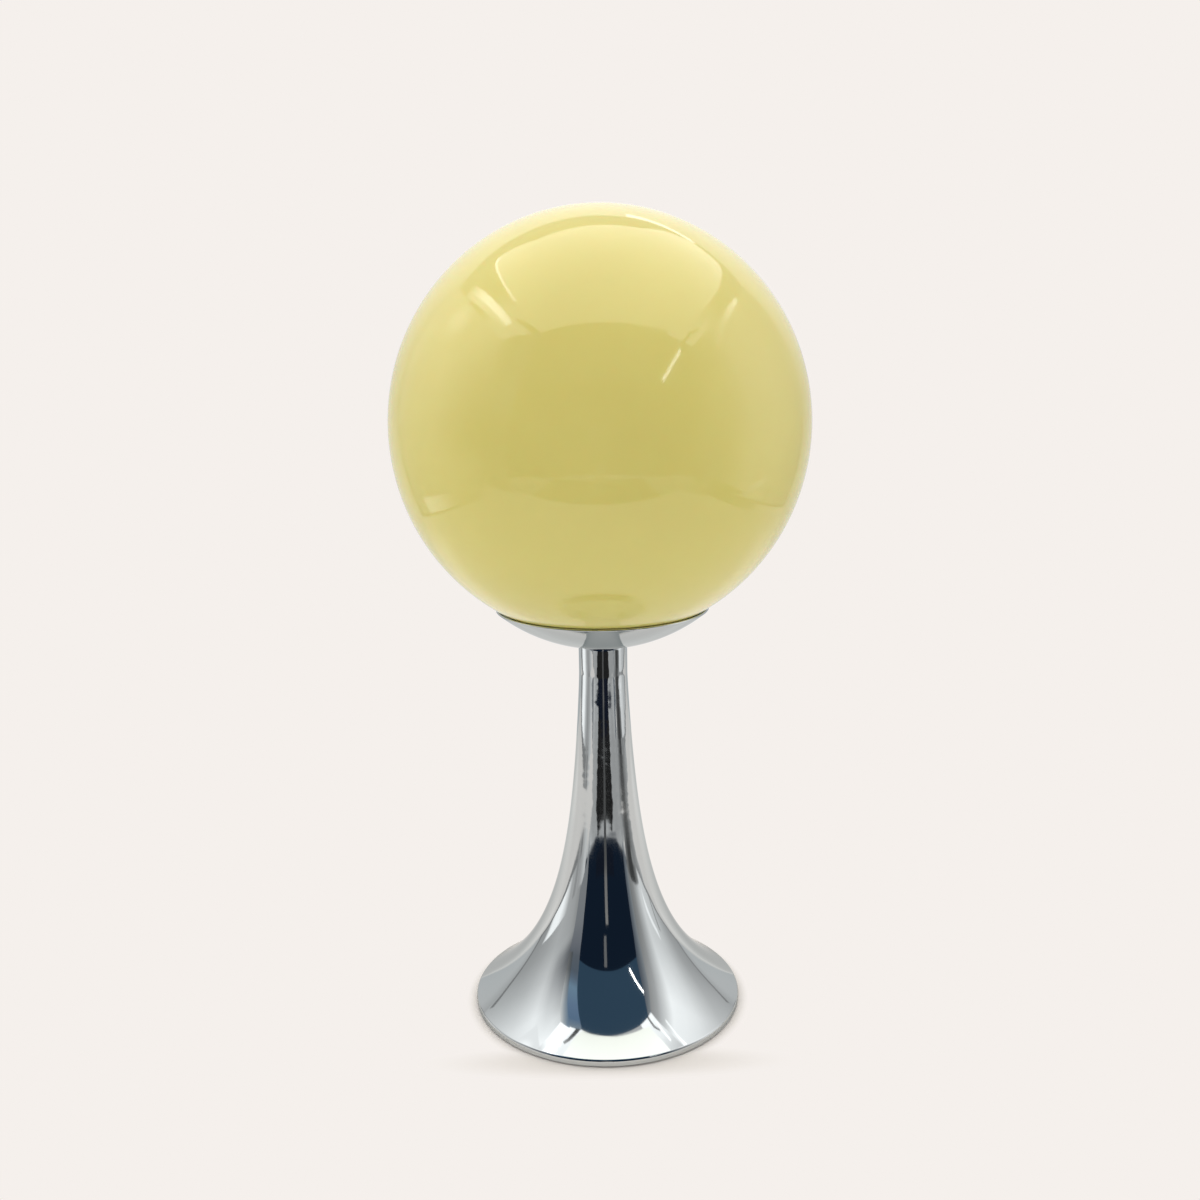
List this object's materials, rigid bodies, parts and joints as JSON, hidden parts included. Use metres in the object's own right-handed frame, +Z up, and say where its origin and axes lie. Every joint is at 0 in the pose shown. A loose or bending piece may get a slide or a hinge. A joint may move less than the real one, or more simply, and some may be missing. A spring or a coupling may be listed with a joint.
{
  "type": "desk lamp",
  "caption": "Desk lamp with a glossy yellow opal glass ball that rests in a chromed dish on a spun trumpet foot, over a screw lampholder and its bulb.",
  "frame": {"origin": "on the table, under the middle of the foot, at the lower face of the felt", "axes": "+Z up along the axis of the stem, -Y towards the viewer of the picture, +Y towards the cord inlet"},
  "size_m": [0.2, 0.2, 0.4042],
  "materials": {
    "felt": "pressed felt",
    "zinc_steel": "zinc plated",
    "spring_steel": "cold rolled, oiled",
    "cast_iron": "sand cast",
    "chrome": "polished",
    "black_plastic": "moulded",
    "white_plastic": "moulded",
    "brown_insulation": "extruded",
    "blue_insulation": "extruded",
    "rubber": "moulded",
    "black_phenolic": "moulded",
    "porcelain": "glazed",
    "brass": "pressed, bright",
    "bulb_cap_metal": "rolled",
    "black_glass": "fused",
    "solder": "dull",
    "frosted_glass": "frosted inside",
    "clear_glass": "clear",
    "filament_wire": "drawn",
    "opal_glass": "glossy, cased in pale yellow"
  },
  "bodies": {
    "stand": {"felt_pad": "felt", "bottom_plate": "zinc_steel", "bottom_plate_screws": "zinc_steel", "ballast": "cast_iron", "terminal_block": "white_plastic", "terminal_screws": "brass", "cord_bushing": "black_plastic", "trumpet_stem": "chrome", "neck_plug": "zinc_steel", "threaded_tube": "zinc_steel", "tube_locknut": "zinc_steel", "cup_nut": "zinc_steel", "cup_washer": "zinc_steel", "globe_cup": "chrome", "seat_ring": "rubber", "globe_spring": "spring_steel", "holder_cap": "black_phenolic", "holder_grub_screw": "zinc_steel", "holder_insert": "porcelain", "holder_wire_screws": "brass", "holder_contact": "brass", "holder_screw_shell": "brass", "holder_body": "black_phenolic", "live_lead": "brown_insulation", "neutral_lead": "blue_insulation"},
    "bulb": {"bulb_contact": "solder", "bulb_insulator": "black_glass", "bulb_cap": "bulb_cap_metal", "bulb_glass": "frosted_glass", "bulb_mount": "clear_glass", "bulb_filament": "filament_wire"},
    "globe": {"glass_globe": "opal_glass"}
  },
  "joints": [
    {"name": "globe_lift", "type": "slide", "parent": "stand", "child": "globe", "axis": [0, 0, 1], "range_m": [0, 0.15]},
    {"name": "bulb_turn", "type": "hinge", "parent": "stand", "child": "bulb", "pos_m": [0, 0, 0.259], "axis": [0, 0, 1], "range_deg": [0, 1800]}
  ]
}
